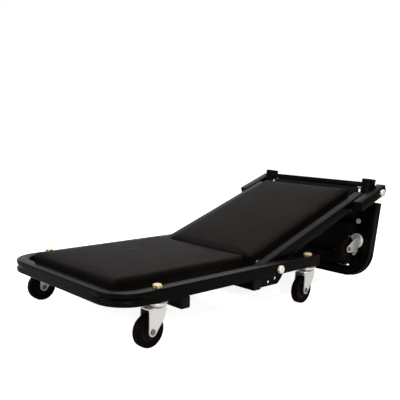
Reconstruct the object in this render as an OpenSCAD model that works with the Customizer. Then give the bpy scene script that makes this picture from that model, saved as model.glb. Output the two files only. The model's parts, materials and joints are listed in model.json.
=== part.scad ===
// Three-section folding creeper seat on six swivel casters.
// Base frame flat on the floor, middle section raised, head section hanging.

/* [Frame] */
// Length of the base frame, front rail to open end
base_length = 578; // [540:2:640]
// Width over the outer rails
frame_width = 411.4; // [390:0.2:460]
// Side of the square frame tube
tube_side = 25.4; // [24:0.2:28]
// Wall of the frame tube
tube_wall = 1.5; // [1.2:0.1:2.2]
// Outer radius of the bent frame corners
bend_radius = 65.5; // [56:0.5:80]
// Depth of the groove pressed into the outer wall of the bends
groove_deep = 4.5; // [3:0.5:5]
// Space between an outer rail and the rail nested inside it
side_gap = 4; // [3.4:0.2:5]

/* [Base] */
// Open end of the frame to the fold pivot
fold_back = 148; // [140:1:165]
// Front of the frame to the front caster stems
front_stem_place = 98; // [85:0.5:110]
// Open end of the frame to the rear caster stems
rear_stem_back = 30.5; // [28:0.5:45]
// Side of the square cross bars under the base rails
bar_side = 22.8; // [18:0.2:25]
// Front of the frame to the front cross bar
bar_front_place = 145.6; // [140:0.2:170]
// Fold pivot to the rear cross bar
bar_rear_back = 59; // [55:1:70]

/* [Middle section] */
// Distance between the fold pivot and the head pivot
mid_length = 426; // [400:2:460]
// Rise of the middle section as shown
fold_angle = 19.6; // [0:0.2:60]
// Rail length below the fold pivot, which carries the lock pin
tail_length = 45.5; // [43:0.5:47]
// Start of the outer arm tubes, measured back from the head pivot
arm_back = 91; // [75:1:110]
// End of the outer arm tubes, past the head pivot
arm_front = 23.7; // [22:0.1:24]

/* [Head section] */
// Head pivot to the outer face of the head frame
head_length = 227.5; // [220:0.5:250]
// Angle of the hanging head section against the middle section
head_angle = 118; // [90:1:118]
// Length of the inner tubes past the head pivot
stub_length = 32.8; // [32:0.1:34]
// Head pivot to the ends of the head frame's outer rails
head_rail_start = 26.4; // [26:0.1:30]
// Outer face of the head frame to the head caster stems
head_stem_back = 95; // [92:1:104]

/* [Cushions] */
// Thickness of the plywood boards
board_thick = 11; // [9:1:14]
// Height of the cushion edges above the rail tops
cushion_rise = 14.6; // [11:0.2:22]
// Crown of the cushions above their edges
crown = 2.7; // [2:0.1:5]
// Radius of the rolled upper edge
edge_roll = 8; // [6:0.5:12]
// Radius of the cushion corners seen from above
corner_round = 11; // [9:1:26]
// How far the cushion sides pull in between the corners
draw_in = 1.2; // [0.4:0.2:3]
// Gap between the front rail and the base cushion
front_gap = 5.5; // [3:0.5:12]
// Gap between the nested rails and the base cushion
base_cushion_gap = 2.7; // [2:0.1:8]
// Gap between the inner rails and the upper cushions
upper_cushion_gap = 10; // [9.8:0.2:15]

/* [Casters] */
// Radius of the wheels
wheel_radius = 31.75; // [30:0.25:34]
// Width of the tyres
wheel_wide = 16; // [14:1:20]
// Distance from the stem axis to the axle
trail = 21; // [18:0.5:24]
// Space between the tyre and the fork's top plate
fork_headroom = 9.3; // [8:0.1:14]
// Outward turn of the front casters as shown
front_turn = 2; // [0:1:20]
// Outward turn of the rear casters as shown
rear_turn = 5; // [0:1:20]

/* [Hidden] */
$fn = 48;
cut = 1;

// casters, measured down from the face that they are mounted on
top_plate_thick = 2.7;
top_plate_r = 20;
race_tall = 3.8;
race_r = 17.3;
race_gap = 0.3;
lower_race_tall = 1;
lower_race_r = 15.5;
fork_thick = 2.3;
fork_side_gap = 3.5;
fork_disc_r = 16;
leg_end_r = 8.6;
leg_front_lean = 1;
leg_back = 12.2;
leg_back_low = 5.9;
leg_straight = 22;
stem_r = 5;
stem_clear = 0.1;
stem_flats = 16;
stem_head_tall = 6.4;
chamfer_inset = 0.3;
stem_nut_tall = 5.5;
stem_nut_gap = 0.3;
stem_past = 1.5;
axle_r = 4;
axle_clear = 0.05;
rivet_r = 6;
rivet_tall = 2.5;
hub_r = 20;
hub_boss_r = 8;
hub_web_wide = 9;
hub_rim_r = 16.5;
hub_rim_wide = 12;
hub_side_gap = 0.4;
tyre_shoulder = 2.4;
tyre_shoulder_drop = 0.2;
tyre_crown_r = 160;
fork_top = top_plate_thick + race_tall + race_gap + lower_race_tall;
caster_drop = fork_top + fork_thick + fork_headroom + wheel_radius;
mount_height = caster_drop + wheel_radius;
fork_inner = wheel_wide/2 + fork_side_gap;
fork_outer = fork_inner + fork_thick;
stem_nut_top = fork_top + fork_thick + stem_nut_gap;

// levels and rows of the frame
half_tube = tube_side/2;
tube_bore = tube_side - 2*tube_wall;
rail_under = mount_height;
rail_mid = rail_under + half_tube;
outer_face = frame_width/2;
outer_row = outer_face - half_tube;
outer_inside = outer_face - tube_side;
inner_face = outer_inside - side_gap;
inner_row = inner_face - half_tube;
inner_inside = inner_face - tube_side;
rear_stem_place = base_length - rear_stem_back;
fold_place = base_length - fold_back;
head_stem_place = head_length - head_stem_back;
groove_wide = 11;
groove_floor_wide = 5.5;
arm_chamfer = 7.3;

// plastic caps
cap_flange = 2;
cap_plug = 5;
cap_clear = 0.2;
cap_wall = 2;

// fold hinge and lock
hinge_r = 5;
hinge_clear = 0.1;
hinge_flats = 16;
hinge_head_tall = 6.4;
hinge_nut_tall = 7;
hinge_past = 0.6;
washer_r = 9;
washer_thick = 1.6;
plate_thick = 3;
plate_past = 4;
plate_reach = tail_length + plate_past;
plate_drop = 42.3;
plate_up = 9;
shim_gap = 0.2;
lock_radius = 33.7;
lock_lead = 5;
pin_r = 3.6;
pin_clear = 0.15;
pin_tip_gap = 0.3;
barrel_r = 6;
barrel_long = 16.5;
knob_r = 6.4;
knob_long = 11;
knob_gap = 1;
seat_angle = 118;
upright_angle = 78;

// head hinge plates, which share the gap between the two rows of tubes
stop_half = 9;
stop_gap = 0.3;
stop_slip = 0.4;
stop_lug_drop = 14.5;
stop_lug_lead = 0.6;
mid_rail_end = mid_length - sqrt(stub_length*stub_length + half_tube*half_tube) - stop_slip;
head_plate_short = 73;
head_plate_back = head_length - head_plate_short;
head_plate_slip = 0.6;
cope_gap = 0.1;

// straps, bars and screws
strap_wide = 18;
strap_thick = 3.6;
strap_inset = 1;
strap_bolt_r = 4;
strap_bolt_long = 16;
strap_dome_r = 6.5;
strap_dome_tall = 3.2;
strap_fit = 0.1;
mid_strap_low = 45.5;
mid_strap_mid = 196;
mid_strap_top_back = 80;
head_strap_high_back = 147.4;
head_strap_low_back = 62.8;
head_strap_high = head_length - head_strap_high_back;
head_strap_low = head_length - head_strap_low_back;
hinge_bar_lead = 9.6;
hinge_bar_tall = 12.7;
screw_r = 2.1;
screw_fit = 0.1;
screw_head_r = 4.2;
screw_head_tall = 2.2;
screw_bite = 8;
screw_side_inset = 36;

// cushions and boards
board_inset = 1;
pad_under = half_tube;
cushion_tall = tube_side - board_thick + cushion_rise;
pivot_reach = 45.5;
mid_cushion_lead = 15.5;
mid_cushion_back = 45.5;
bar_cushion_gap = 0.5;
head_cushion_start = hinge_bar_lead - stub_length + hinge_bar_tall + bar_cushion_gap;
head_cushion_gap = 1;
base_cushion_half = inner_inside - base_cushion_gap;
upper_cushion_half = inner_inside - upper_cushion_gap;
base_cushion_x0 = tube_side + front_gap;
base_cushion_x1 = fold_place - pivot_reach;
mid_cushion_x1 = mid_length - mid_cushion_back;
head_cushion_x1 = head_length - tube_side - head_cushion_gap;
corner_steps = 5;
side_steps = 6;
roll_steps = 4;
crown_steps = 6;
crown_reach_share = 0.86;
tuck_share = 0.5;
side_shares = [[0.5, 0], [0.12, 0.16], [0, 0.4], [0, 0.7]];

// furthest point past the head pivot, on the hanging cushion or on the arms
head_dir = fold_angle - head_angle;
head_pivot_x = fold_place + mid_length*cos(fold_angle);
head_least_half = min((head_cushion_x1 - head_cushion_start)/2, upper_cushion_half);
cushion_bulge = max([for (k = [0 : crown_steps])
    let (u = k/crown_steps)
    (head_cushion_start + edge_roll + u*crown_reach_share*(head_least_half - edge_roll))
        *cos(head_dir)
    - (half_tube + cushion_rise + crown*(1 - (1 - u)*(1 - u)))*sin(head_dir)]);
arm_bulge = arm_front*cos(fold_angle) + (half_tube - arm_chamfer)*sin(fold_angle);
part_mid_x = (head_pivot_x + max(cushion_bulge, arm_bulge))/2;

// ---- places

module on_base() {
    translate([-part_mid_x, 0, 0])
        children();
}

module at_base_rails() {
    on_base()
        translate([0, 0, rail_mid])
            children();
}

module at_mid() {
    at_base_rails()
        translate([fold_place, 0, 0])
            rotate([0, -fold_angle, 0])
                children();
}

module at_head() {
    at_mid()
        translate([mid_length, 0, 0])
            rotate([0, head_angle, 0])
                children();
}

module both_sides() {
    children();
    mirror([0, 1, 0])
        children();
}

// a flat outline in X and Z, thickened from y to y + thick
module slab(y, thick) {
    translate([0, y + thick, 0])
        rotate([90, 0, 0])
            linear_extrude(thick)
                children();
}

// a round bar along Y, from y to y + long
module pin(y, long, r) {
    translate([0, y + long, 0])
        rotate([90, 0, 0])
            cylinder(h = long, r = r);
}

module hex(y, tall, flats) {
    translate([0, y + tall, 0])
        rotate([90, 0, 0])
            cylinder(h = tall, r = flats/2/cos(30), $fn = 6);
}

// ---- tubes

module box_along_x(x0, x1, wide, tall) {
    translate([x0, -wide/2, -tall/2])
        cube([x1 - x0, wide, tall]);
}

module tube_x(x0, x1) {
    difference() {
        box_along_x(x0, x1, tube_side, tube_side);
        box_along_x(x0 - cut, x1 + cut, tube_bore, tube_bore);
    }
}

// cross-section of a bend: inner wall at x = 0, grooved outer wall
module bend_outline(side, groove, inset) {
    polygon([[inset, -side/2 + inset], [side - inset, -side/2 + inset],
        [side - inset, -groove/2 - inset], [side - groove_deep - inset, -groove_floor_wide/2 - inset],
        [side - groove_deep - inset, groove_floor_wide/2 + inset], [side - inset, groove/2 + inset],
        [side - inset, side/2 - inset], [inset, side/2 - inset]]);
}

module bend(inset) {
    rotate_extrude(angle = 90, $fn = 96)
        translate([bend_radius - tube_side, 0])
            bend_outline(tube_side, groove_wide, inset);
}

module u_core(reach, inset, over) {
    for (side = [-1, 1]) {
        translate([0, side*outer_row, 0])
            box_along_x(bend_radius, reach + over, tube_side - 2*inset, tube_side - 2*inset);
    }
    translate([half_tube, 0, 0])
        cube([tube_side - 2*inset, frame_width - 2*bend_radius, tube_side - 2*inset], center = true);
    translate([bend_radius, outer_face - bend_radius, 0])
        rotate([0, 0, 90])
            bend(inset);
    translate([bend_radius, bend_radius - outer_face, 0])
        rotate([0, 0, 180])
            bend(inset);
}

// a U of square tube, closed at x = 0 and open at x = reach
module u_rail(reach) {
    difference() {
        u_core(reach, 0, 0);
        u_core(reach, tube_wall, cut);
    }
}

// a cap whose flange covers the end at x = 0 and whose plug runs back into the tube
module end_cap(wide, tall) {
    box_along_x(0, cap_flange, wide, tall);
    difference() {
        box_along_x(-cap_plug, cut, wide - 2*(tube_wall + cap_clear), tall - 2*(tube_wall + cap_clear));
        box_along_x(-cap_plug - cut, 0, wide - 2*(tube_wall + cap_clear + cap_wall),
            tall - 2*(tube_wall + cap_clear + cap_wall));
        box_along_x(cap_flange/2, 2*cut, wide, tall);
    }
}

// ---- soft forms

function ring_corner(sx, sy, hx, hy, r, a0, z) = [for (j = [0 : corner_steps])
    let (a = a0 + 90*j/corner_steps)
    [sx*(hx - r) + r*cos(a), sy*(hy - r) + r*sin(a), z]];

function ring_side(p, q, pull, z) = [for (j = [1 : side_steps])
    let (t = j/(side_steps + 1), d = pull*sin(180*t), v = q - p, n = norm(v))
    [p[0] + t*v[0] - d*v[1]/n, p[1] + t*v[1] + d*v[0]/n, z]];

function ring(hx, hy, r, pull, z) =
    let (a = ring_corner(1, 1, hx, hy, r, 0, z), b = ring_corner(-1, 1, hx, hy, r, 90, z),
        c = ring_corner(-1, -1, hx, hy, r, 180, z), d = ring_corner(1, -1, hx, hy, r, 270, z),
        e = corner_steps)
    concat(a, ring_side(a[e], b[0], pull, z), b, ring_side(b[e], c[0], pull, z),
        c, ring_side(c[e], d[0], pull, z), d, ring_side(d[e], a[0], pull, z));

// closed cushion from x0 to x1, half wide each side, standing on z = 0
module cushion(x0, x1, half, tall, lid) {
    hx = (x1 - x0)/2;
    side_tall = tall - edge_roll;
    least_r = corner_round/4;
    steps = concat(
        [for (s = side_shares) [s[0]*edge_roll*tuck_share, s[1]*side_tall, 1]],
        [for (k = [0 : roll_steps]) let (a = 90*k/roll_steps)
            [edge_roll*(1 - cos(a)), side_tall + edge_roll*sin(a), 1]],
        [for (k = [1 : crown_steps]) let (u = k/crown_steps)
            [edge_roll + u*crown_reach_share*(min(hx, half) - edge_roll),
                tall + lid*(1 - (1 - u)*(1 - u)), 1 - u]]);
    rings = [for (s = steps)
        ring(hx - s[0], half - s[0], max(corner_round - s[0], least_r), draw_in*s[2], s[1])];
    n = len(rings[0]);
    m = len(rings);
    pts = concat([for (r = rings) for (p = r) p], [[0, 0, 0], [0, 0, tall + lid]]);
    faces = concat(
        [for (i = [0 : m - 2]) for (j = [0 : n - 1])
            [i*n + j, (i + 1)*n + j, (i + 1)*n + (j + 1)%n]],
        [for (i = [0 : m - 2]) for (j = [0 : n - 1])
            [i*n + j, (i + 1)*n + (j + 1)%n, i*n + (j + 1)%n]],
        [for (j = [0 : n - 1]) [m*n, j, (j + 1)%n]],
        [for (j = [0 : n - 1]) [m*n + 1, (m - 1)*n + (j + 1)%n, (m - 1)*n + j]]);
    translate([(x0 + x1)/2, 0, 0])
        polyhedron(points = pts, faces = faces);
}

module board(x0, x1, half, holes, side) {
    difference() {
        translate([x0 + board_inset, -half + board_inset, -pad_under])
            cube([x1 - x0 - 2*board_inset, 2*(half - board_inset), board_thick]);
        for (x = holes) {
            for (y = [-side, side]) {
                translate([x, y, -pad_under - cut])
                    cylinder(h = screw_bite + cut, r = screw_r + screw_fit, $fn = 24);
            }
        }
    }
}

// round-headed screws that come up through a bar or strap into the board
module pad_screws(places, side, grip) {
    for (x = places) {
        for (y = [-side, side]) {
            translate([x, y, -pad_under - grip]) {
                cylinder(h = grip + screw_bite - cut, r = screw_r, $fn = 24);
                translate([0, 0, -screw_head_tall])
                    cylinder(h = screw_head_tall, r = screw_head_r);
            }
        }
    }
}

// ---- caster pieces, hanging from z = 0, trailing towards -X

module caster_top() {
    difference() {
        union() {
            translate([0, 0, -top_plate_thick])
                cylinder(h = top_plate_thick, r = top_plate_r);
            rotate_extrude()
                polygon([[0, -top_plate_thick], [race_r - race_tall/2, -top_plate_thick],
                    [race_r, -top_plate_thick - race_tall/2], [race_r, -top_plate_thick - race_tall],
                    [0, -top_plate_thick - race_tall]]);
        }
        translate([0, 0, -fork_top])
            cylinder(h = fork_top + cut, r = stem_r + stem_clear);
    }
}

// a hexagon standing on z = 0, its upper corners cut off
module hex_head(tall, flats) {
    intersection() {
        cylinder(h = tall, r = flats/2/cos(30), $fn = 6);
        cylinder(h = tall, r1 = flats/2 - chamfer_inset + tall/tan(30), r2 = flats/2 - chamfer_inset);
    }
}

// stem bolt: hexagon head above the tube, nut under the fork
module stem_bolt() {
    difference() {
        union() {
            translate([0, 0, -stem_nut_top - stem_nut_tall - stem_past])
                cylinder(h = stem_nut_top + stem_nut_tall + stem_past + tube_side, r = stem_r);
            translate([0, 0, tube_side])
                hex_head(stem_head_tall, stem_flats);
            translate([0, 0, -stem_nut_top - stem_nut_tall])
                cylinder(h = stem_nut_tall, r = stem_flats/2/cos(30), $fn = 6);
        }
        translate([0, 0, -stem_nut_top - stem_nut_tall - stem_past - cut])
            cylinder(h = cut, r = stem_r + cut);
    }
}

module stem_hole() {
    translate([0, 0, -cut])
        cylinder(h = tube_side + 2*cut, r = stem_r + stem_clear);
}

module leg_outline() {
    translate([-trail, -caster_drop])
        circle(r = leg_end_r);
    polygon([[-trail - leg_end_r, -caster_drop],
        [-trail - leg_end_r + leg_front_lean, -fork_top], [leg_back, -fork_top],
        [leg_back_low, -fork_top - leg_straight],
        [leg_end_r*cos(36) - trail, -caster_drop - leg_end_r*sin(36)],
        [-trail, -caster_drop]]);
}

module fork() {
    difference() {
        union() {
            both_sides()
                slab(fork_inner, fork_thick)
                    leg_outline();
            translate([-trail - leg_end_r + leg_front_lean, -fork_outer, -fork_top - fork_thick])
                cube([trail + leg_end_r - leg_front_lean + leg_back, 2*fork_outer, fork_thick]);
            translate([0, 0, -fork_top - fork_thick])
                cylinder(h = fork_thick, r = fork_disc_r);
            translate([0, 0, -fork_top - fork_thick])
                cylinder(h = fork_thick + lower_race_tall, r = lower_race_r);
        }
        translate([0, 0, -fork_top - 2*fork_thick])
            cylinder(h = 4*fork_thick, r = stem_r + stem_clear);
        translate([-trail, 0, -caster_drop])
            pin(-fork_outer - cut, 2*(fork_outer + cut), axle_r + axle_clear);
    }
}

module axle() {
    translate([-trail, 0, -caster_drop]) {
        pin(-fork_outer, 2*fork_outer, axle_r);
        pin(fork_outer, rivet_tall, rivet_r);
        pin(-fork_outer - rivet_tall, rivet_tall, rivet_r);
    }
}

module hub() {
    half = wheel_wide/2;
    boss = fork_inner - hub_side_gap;
    translate([-trail, 0, -caster_drop])
        rotate([90, 0, 0])
            rotate_extrude()
                polygon([[axle_r + axle_clear, -boss], [hub_boss_r, -boss],
                    [hub_boss_r, -hub_web_wide/2], [hub_rim_r, -hub_web_wide/2],
                    [hub_rim_r, -hub_rim_wide/2], [hub_r, -hub_rim_wide/2],
                    [hub_r, hub_rim_wide/2], [hub_rim_r, hub_rim_wide/2],
                    [hub_rim_r, hub_web_wide/2], [hub_boss_r, hub_web_wide/2],
                    [hub_boss_r, boss], [axle_r + axle_clear, boss]]);
}

module tyre() {
    translate([-trail, 0, -caster_drop])
        rotate([90, 0, 0])
            rotate_extrude($fn = 96)
                tyre_outline();
}

// cross-section of the tyre, with the axle along the second axis
module tyre_outline() {
    shoulder_row = wheel_wide/2 - tyre_shoulder;
    shoulder_out = wheel_radius - tyre_shoulder - tyre_shoulder_drop;
    intersection() {
        union() {
            translate([hub_r, -wheel_wide/2])
                square([shoulder_out - hub_r, wheel_wide]);
            translate([hub_r, -shoulder_row])
                square([wheel_radius - hub_r, 2*shoulder_row]);
            for (y = [-shoulder_row, shoulder_row]) {
                translate([shoulder_out, y])
                    circle(r = tyre_shoulder, $fn = 64);
            }
        }
        translate([wheel_radius - tyre_crown_r, 0])
            circle(r = tyre_crown_r, $fn = 512);
    }
}

module at_front(side) {
    on_base()
        translate([front_stem_place, side*outer_row, rail_under])
            rotate([0, 0, -side*front_turn])
                children();
}

module at_rear(side) {
    on_base()
        translate([rear_stem_place, side*outer_row, rail_under])
            rotate([0, 0, -side*rear_turn])
                children();
}

module at_head_stem(side) {
    at_head()
        translate([head_stem_place, side*inner_row, -half_tube])
            rotate([0, 0, 180])
                children();
}

// ---- base section

module base_rail() {
    color("#26272a")
        difference() {
            at_base_rails()
                u_rail(base_length - cap_flange);
            for (side = [-1, 1]) {
                at_front(side)
                    stem_hole();
                at_rear(side)
                    stem_hole();
            }
            at_base_rails()
                both_sides()
                    translate([fold_place, 0, 0]) {
                        pin(outer_inside - cut, tube_side + 2*cut, hinge_r + hinge_clear);
                        rotate([0, -180 - lock_lead, 0])
                            translate([lock_radius, 0, 0])
                                pin(outer_inside - cut, half_tube, pin_r + pin_clear);
                    }
        }
}

module base_bars() {
    color("#26272a")
        on_base()
            for (x = [bar_front_place, fold_place - bar_rear_back - bar_side]) {
                translate([x, 0, rail_under - bar_side])
                    difference() {
                        translate([0, cap_flange - outer_face, 0])
                            cube([bar_side, frame_width - 2*cap_flange, bar_side]);
                        translate([tube_wall, -outer_face, tube_wall])
                            cube([bar_side - 2*tube_wall, frame_width, bar_side - 2*tube_wall]);
                        for (y = [-screw_row(base_cushion_half), screw_row(base_cushion_half)]) {
                            translate([bar_side/2, y, -cut])
                                cylinder(h = bar_side + 2*cut, r = screw_r + screw_fit, $fn = 24);
                        }
                    }
            }
}

function screw_row(half) = half - screw_side_inset;
base_screw_places = [bar_front_place + bar_side/2, fold_place - bar_rear_back - bar_side/2];

module base_caps() {
    color("#121214") {
        at_base_rails()
            both_sides()
                translate([base_length - cap_flange, outer_row, 0])
                    end_cap(tube_side, tube_side);
        on_base()
            both_sides()
                for (x = base_screw_places) {
                    translate([x, outer_face - cap_flange, rail_under - bar_side/2])
                        rotate([0, 0, 90])
                            end_cap(bar_side, bar_side);
                }
    }
}

// hangs inside each base rail; its holes take the lock pin
module hinge_plates() {
    color("#26272a")
        at_base_rails()
            both_sides()
                translate([fold_place, 0, 0])
                    slab(outer_inside - plate_thick, plate_thick)
                        difference() {
                            union() {
                                intersection() {
                                    circle(r = plate_reach);
                                    translate([-plate_reach, -plate_drop])
                                        square([2*plate_reach, plate_drop + plate_up]);
                                }
                                translate([-bar_rear_back, -plate_drop])
                                    square([bar_rear_back, plate_drop - half_tube]);
                                translate([-bar_rear_back, -half_tube - cut])
                                    square([bar_rear_back, half_tube + cut + plate_up]);
                            }
                            circle(r = hinge_r + hinge_clear);
                            for (a = [0, upright_angle, seat_angle]) {
                                rotate(180 + lock_lead + a)
                                    translate([lock_radius, 0])
                                        circle(r = pin_r + pin_clear);
                            }
                        }
}

module base_board() {
    color("#b08d5c")
        at_base_rails()
            board(base_cushion_x0, base_cushion_x1, base_cushion_half,
                base_screw_places, screw_row(base_cushion_half));
}

module base_cushion() {
    color("#3a3838")
        at_base_rails()
            translate([0, 0, board_thick - pad_under])
                cushion(base_cushion_x0, base_cushion_x1, base_cushion_half, cushion_tall, crown);
}

module base_screws() {
    color("#c9c9c4")
        at_base_rails()
            pad_screws(base_screw_places, screw_row(base_cushion_half), bar_side);
}

module base_caster_tops() {
    color("#c8c5b8")
        for (side = [-1, 1]) {
            at_front(side)
                caster_top();
            at_rear(side)
                caster_top();
        }
}

module base_stems() {
    color("#cdbb88")
        for (side = [-1, 1]) {
            at_front(side)
                stem_bolt();
            at_rear(side)
                stem_bolt();
        }
}

// ---- middle section

module mid_rails() {
    color("#26272a")
        at_mid()
            both_sides()
                difference() {
                    translate([0, inner_row, 0])
                        tube_x(cap_flange - tail_length, mid_rail_end - cap_flange);
                    pin(inner_inside - cut, tube_side + 2*cut, hinge_r + hinge_clear);
                    lock_place()
                        pin(inner_inside - cut, tube_side + 2*cut, pin_r + pin_clear);
                    strap_holes([mid_strap_low, mid_strap_mid, mid_length - mid_strap_top_back]);
                }
}

module lock_place() {
    rotate([0, -180 - lock_lead, 0])
        translate([lock_radius, 0, 0])
            children();
}

module strap_holes(places) {
    for (x = places) {
        translate([x, inner_row, -half_tube - cut])
            cylinder(h = half_tube, r = strap_bolt_r + strap_fit);
    }
}

module straps(places, side) {
    for (x = places) {
        difference() {
            translate([x - strap_wide/2, strap_inset - inner_face, -half_tube - strap_thick])
                cube([strap_wide, 2*(inner_face - strap_inset), strap_thick]);
            for (y = [-inner_row, inner_row]) {
                translate([x, y, -half_tube - strap_thick - cut])
                    cylinder(h = strap_thick + 2*cut, r = strap_bolt_r + strap_fit);
            }
            for (y = [-side, side]) {
                translate([x, y, -half_tube - strap_thick - cut])
                    cylinder(h = strap_thick + 2*cut, r = screw_r + screw_fit, $fn = 24);
            }
        }
    }
}

module strap_bolts(places) {
    for (x = places) {
        for (y = [-inner_row, inner_row]) {
            translate([x, y, -half_tube - strap_thick]) {
                cylinder(h = strap_bolt_long - strap_thick, r = strap_bolt_r);
                translate([0, 0, -strap_dome_tall])
                    cylinder(h = strap_dome_tall, r = strap_dome_r);
            }
        }
    }
}

// one outer arm with the plate that joins it to the rail and stops the head
module arm() {
    difference() {
        translate([mid_length, outer_row, 0])
            difference() {
                tube_x(cap_flange - arm_back, arm_front - cap_flange);
                arm_chamfers();
            }
        translate([mid_length, 0, 0])
            pin(outer_inside - cut, tube_side + 2*cut, hinge_r + hinge_clear);
    }
    translate([mid_length, 0, 0]) {
        slab(inner_face, side_gap)
            translate([-arm_back, -stop_half])
                square([arm_back - (mid_length - mid_rail_end), 2*stop_half]);
        slab(inner_face + stop_slip, side_gap - stop_slip)
            union() {
                translate([-arm_back/2, -stop_half])
                    square([arm_back/2 - stub_length - stop_gap, 2*stop_half]);
                stop_lug();
            }
    }
}

// its slanted edge meets the head's plate when the head hangs at seat_angle
module stop_lug() {
    top = -stop_half - stop_lug_lead;
    low = -stop_half - stop_lug_drop;
    polygon([[-stub_length - stop_lug_drop, -stop_half], [-stub_length - stop_gap, -stop_half],
        [-stub_length - stop_gap, top], [lug_edge(top), top], [lug_edge(low), low],
        [-stub_length, low]]);
}

function lug_edge(z) = (-stop_half - stop_gap - z*cos(seat_angle))/sin(seat_angle);

module arm_chamfers() {
    translate([arm_front, 0, -half_tube])
        rotate([0, 45, 0])
            cube([arm_chamfer*sqrt(2), tube_side + 2*cut, arm_chamfer*sqrt(2)], center = true);
}

module mid_arms() {
    color("#26272a")
        at_mid()
            both_sides()
                arm();
}

module mid_straps() {
    color("#2a2b2e")
        at_mid()
            straps([mid_strap_low, mid_strap_mid, mid_length - mid_strap_top_back],
                screw_row(upper_cushion_half));
}

module mid_strap_bolts() {
    color("#c9c9c4")
        at_mid()
            strap_bolts([mid_strap_low, mid_strap_mid, mid_length - mid_strap_top_back]);
}

module mid_caps() {
    color("#121214")
        at_mid()
            both_sides() {
                translate([mid_rail_end - cap_flange, inner_row, 0])
                    end_cap(tube_side, tube_side);
                translate([cap_flange - tail_length, inner_row, 0])
                    mirror([1, 0, 0])
                        end_cap(tube_side, tube_side);
                translate([mid_length - arm_back + cap_flange, outer_row, 0])
                    mirror([1, 0, 0])
                        end_cap(tube_side, tube_side);
                translate([mid_length, outer_row, 0])
                    difference() {
                        translate([arm_front - cap_flange, 0, 0])
                            box_along_x(0, cap_flange, tube_side, tube_side);
                        arm_chamfers();
                    }
            }
}

module mid_board() {
    color("#b08d5c")
        at_mid()
            board(-mid_cushion_lead, mid_cushion_x1, upper_cushion_half,
                [mid_strap_low, mid_strap_mid, mid_length - mid_strap_top_back],
                screw_row(upper_cushion_half));
}

module mid_cushion() {
    color("#3a3838")
        at_mid()
            translate([0, 0, board_thick - pad_under])
                cushion(-mid_cushion_lead, mid_cushion_x1, upper_cushion_half, cushion_tall, crown);
}

module mid_screws() {
    color("#c9c9c4")
        at_mid()
            pad_screws([mid_strap_low, mid_strap_mid, mid_length - mid_strap_top_back],
                screw_row(upper_cushion_half), strap_thick);
}

module lock_barrels() {
    color("#c9c9c4")
        at_mid()
            both_sides()
                lock_place()
                    difference() {
                        pin(inner_inside - barrel_long, barrel_long, barrel_r);
                        pin(inner_inside - barrel_long - cut, barrel_long + 2*cut, pin_r + pin_clear);
                    }
}

module lock_pin() {
    tip = outer_inside - plate_thick - pin_tip_gap;
    root = inner_inside - barrel_long - knob_gap;
    pin(root, tip - root, pin_r);
    pin(root - knob_long, knob_long, knob_r);
}

module lock_pin_far() {
    color("#c9c9c4")
        at_mid()
            lock_place()
                lock_pin();
}

module lock_pin_near() {
    color("#c9c9c4")
        at_mid()
            lock_place()
                mirror([0, 1, 0])
                    lock_pin();
}

// ---- head section

module head_rail() {
    color("#26272a")
        at_head()
            translate([head_length, 0, 0])
                mirror([1, 0, 0])
                    u_rail(head_length - head_rail_start - cap_flange);
}

// one inner tube, its lower end cut round to meet the inside of the bend
module coped_tube() {
    intersection() {
        translate([0, inner_row, 0])
            tube_x(cap_flange - stub_length, head_length - tube_side);
        union() {
            translate([0, inner_row, 0])
                box_along_x(-stub_length, head_length - bend_radius, tube_side + cut, tube_side + cut);
            translate([head_length - bend_radius, outer_face - bend_radius, -half_tube - cut])
                cylinder(h = tube_side + 2*cut, r = bend_radius - tube_side - cope_gap, $fn = 96);
        }
    }
}

module head_inner_tubes() {
    color("#26272a")
        difference() {
            at_head()
                both_sides() {
                    difference() {
                        coped_tube();
                        pin(inner_inside - cut, tube_side + 2*cut, hinge_r + hinge_clear);
                        strap_holes([head_strap_high, head_strap_low]);
                    }
                    slab(inner_face, side_gap - head_plate_slip)
                        difference() {
                            union() {
                                intersection() {
                                    circle(r = stub_length, $fn = 96);
                                    translate([-stub_length, -stop_half])
                                        square([stub_length, stop_half]);
                                }
                                translate([-stub_length, 0])
                                    square([stub_length, stop_half]);
                                translate([0, -stop_half])
                                    square([head_plate_back, 2*stop_half]);
                            }
                            circle(r = hinge_r + hinge_clear);
                        }
                    slab(inner_face, side_gap)
                        translate([head_rail_start, -stop_half])
                            square([head_plate_back - head_rail_start, 2*stop_half]);
                }
            for (side = [-1, 1]) {
                at_head_stem(side)
                    stem_hole();
            }
        }
}

// joins the two inner tubes above the pivot
module head_hinge_bar() {
    color("#26272a")
        at_head()
            translate([hinge_bar_lead - stub_length, -inner_inside, -half_tube])
                difference() {
                    cube([hinge_bar_tall, 2*inner_inside, tube_side]);
                    translate([tube_wall, -cut, tube_wall])
                        cube([hinge_bar_tall - 2*tube_wall, 2*(inner_inside + cut), tube_bore]);
                }
}

module head_straps() {
    color("#2a2b2e")
        at_head()
            straps([head_strap_high, head_strap_low], screw_row(upper_cushion_half));
}

module head_strap_bolts() {
    color("#c9c9c4")
        at_head()
            strap_bolts([head_strap_high, head_strap_low]);
}

module head_caps() {
    color("#121214")
        at_head()
            both_sides() {
                translate([cap_flange - stub_length, inner_row, 0])
                    mirror([1, 0, 0])
                        end_cap(tube_side, tube_side);
                translate([head_rail_start + cap_flange, outer_row, 0])
                    mirror([1, 0, 0])
                        end_cap(tube_side, tube_side);
            }
}

module head_board() {
    color("#b08d5c")
        at_head()
            board(head_cushion_start, head_cushion_x1, upper_cushion_half,
                [head_strap_high, head_strap_low], screw_row(upper_cushion_half));
}

module head_cushion() {
    color("#3a3838")
        at_head()
            translate([0, 0, board_thick - pad_under])
                cushion(head_cushion_start, head_cushion_x1, upper_cushion_half, cushion_tall, crown);
}

module head_screws() {
    color("#c9c9c4")
        at_head()
            pad_screws([head_strap_high, head_strap_low], screw_row(upper_cushion_half), strap_thick);
}

module head_caster_tops() {
    color("#c8c5b8")
        for (side = [-1, 1]) {
            at_head_stem(side)
                caster_top();
        }
}

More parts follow.
